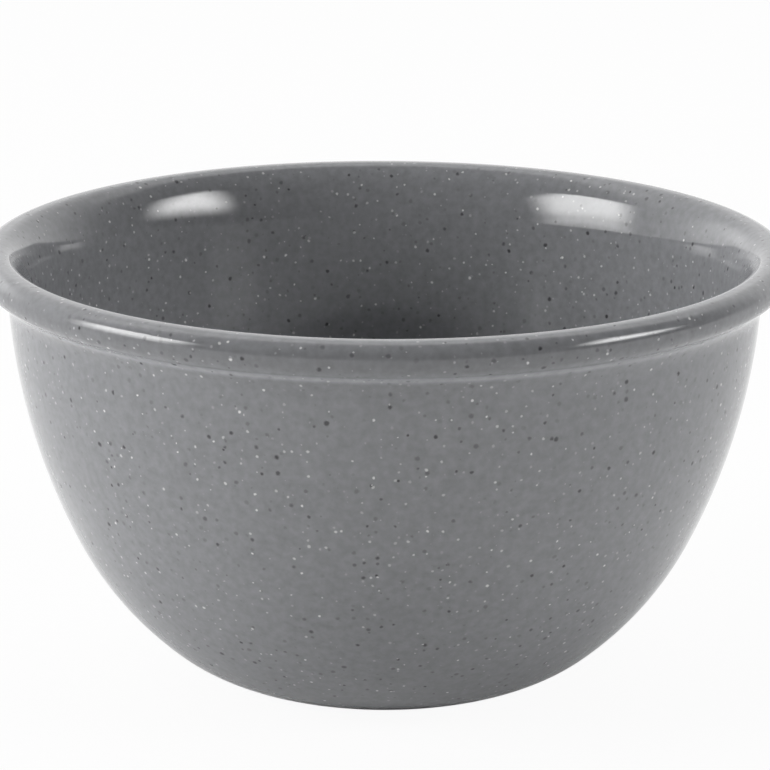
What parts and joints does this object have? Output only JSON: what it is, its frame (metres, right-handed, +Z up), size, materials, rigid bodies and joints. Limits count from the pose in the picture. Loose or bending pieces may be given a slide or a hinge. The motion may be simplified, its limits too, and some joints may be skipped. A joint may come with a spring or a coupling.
{
  "type": "enamel basin bowl",
  "caption": "Deep round basin bowl in speckled grey enamel, with a thick curved wall, a rolled bead round the rim, a broad inner lip and a flat base, for mixing, washing or serving.",
  "frame": {"origin": "on the table, at the centre of the flat base", "axes": "+Z up along the bowl's axis, out of its mouth; the bowl is round, so X and Y have no front"},
  "size_m": [0.22, 0.22, 0.12],
  "materials": {
    "cast_iron": "sand-cast, covered all over by the enamel",
    "ground_coat": "dark fused ground coat of enamel, covered all over",
    "speckled_enamel": "glossy grey vitreous enamel with fine white specks and sparser black specks"
  },
  "bodies": {
    "root": {"cast_iron_body": "cast_iron", "outside_ground_coat": "ground_coat", "inside_ground_coat": "ground_coat", "outside_enamel": "speckled_enamel", "inside_enamel": "speckled_enamel"}
  },
  "joints": []
}
